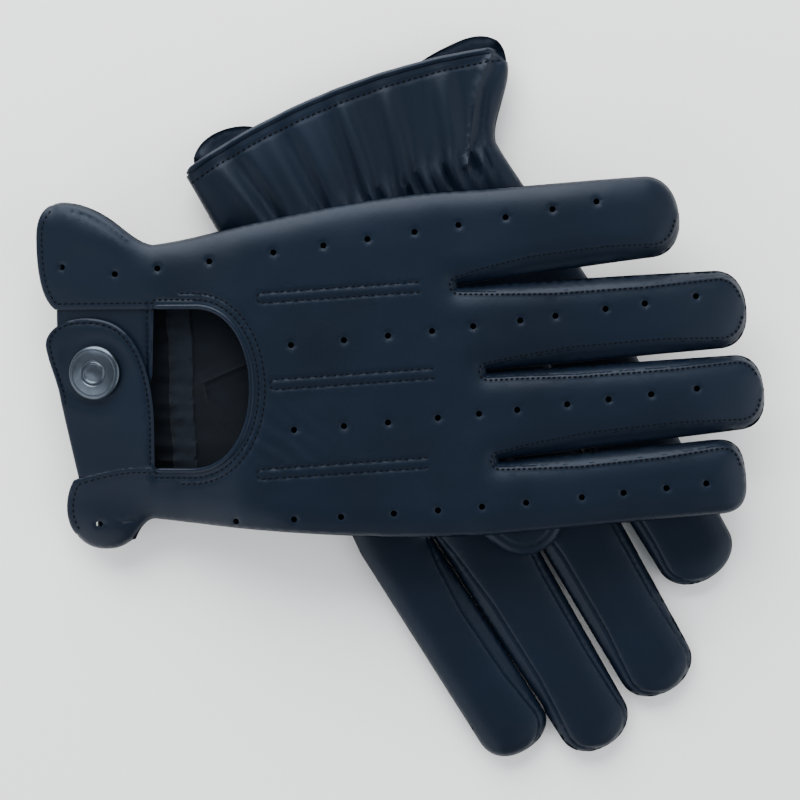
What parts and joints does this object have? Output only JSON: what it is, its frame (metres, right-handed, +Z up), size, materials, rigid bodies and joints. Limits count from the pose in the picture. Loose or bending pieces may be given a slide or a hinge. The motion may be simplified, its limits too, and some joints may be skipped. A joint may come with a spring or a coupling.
{
  "type": "driving gloves",
  "caption": "Pair of smooth leather driving gloves with open keyhole backs, snap wrist straps and separate finger side strips, one lying back up across the other lying palm up.",
  "frame": {"origin": "middle of the pair's footprint, on the surface that the lower glove lies on", "axes": "+Z up from that surface; +X roughly from the left glove's cuff to its fingertips; +Y towards the left glove's little finger"},
  "size_m": [0.2474, 0.2568, 0.0339],
  "materials": {
    "leather": "satin",
    "suede": "matte",
    "elastic": "matte",
    "thread": "matte",
    "snap_metal": "satin"
  },
  "bodies": {
    "right_glove": {"right_back_panel": "leather", "right_palm_panel": "leather", "right_fourchette_index_middle": "leather", "right_fourchette_middle_ring": "leather", "right_fourchette_ring_little": "leather", "right_underlap": "leather", "right_keyhole_binding": "leather", "right_cuff_hem": "leather", "right_wrist_elastic": "elastic", "right_snap_stud": "snap_metal", "right_snap_post": "snap_metal", "right_point_stitching_index": "thread", "right_point_stitching_middle": "thread", "right_point_stitching_little": "thread"},
    "right_strap_body": {"right_strap": "leather", "right_strap_lining": "suede", "right_snap_cap": "snap_metal", "right_snap_socket": "snap_metal"},
    "right_thumb_body": {"right_thumb": "leather"},
    "left_glove": {"left_back_panel": "leather", "left_palm_panel": "leather", "left_fourchette_index_middle": "leather", "left_fourchette_middle_ring": "leather", "left_fourchette_ring_little": "leather", "left_underlap": "leather", "left_keyhole_binding": "leather", "left_cuff_hem": "leather", "left_wrist_elastic": "elastic", "left_snap_stud": "snap_metal", "left_snap_post": "snap_metal", "left_point_stitching_index": "thread", "left_point_stitching_middle": "thread", "left_point_stitching_little": "thread"},
    "left_strap_body": {"left_strap": "leather", "left_strap_lining": "suede", "left_snap_cap": "snap_metal", "left_snap_socket": "snap_metal"},
    "left_thumb_body": {"left_thumb": "leather"}
  },
  "joints": [
    {"name": "left_glove_lift", "type": "slide", "parent": "right_glove", "child": "left_glove", "axis": [0, 0, 1], "range_m": [0, 0.15]},
    {"name": "left_strap_hinge", "type": "hinge", "parent": "left_glove", "child": "left_strap_body", "pos_m": [-0.11029, -0.02702, 0.01481], "axis": [0.9546, 0.1434, 0.2612], "range_deg": [0, 150]},
    {"name": "right_strap_hinge", "type": "hinge", "parent": "right_glove", "child": "right_strap_body", "pos_m": [-0.05057, 0.08219, 0.0038], "axis": [-0.5201, 0.8541, 0], "range_deg": [0, 150]},
    {"name": "left_thumb_swing", "type": "hinge", "parent": "left_glove", "child": "left_thumb_body", "pos_m": [-0.02429, -0.02662, 0.02035], "axis": [0, 0, -1], "range_deg": [0, 52]},
    {"name": "right_thumb_swing", "type": "hinge", "parent": "right_glove", "child": "right_thumb_body", "pos_m": [-0.01687, 0.00306, 0.01355], "axis": [0, 0, -1], "range_deg": [0, 52]}
  ]
}
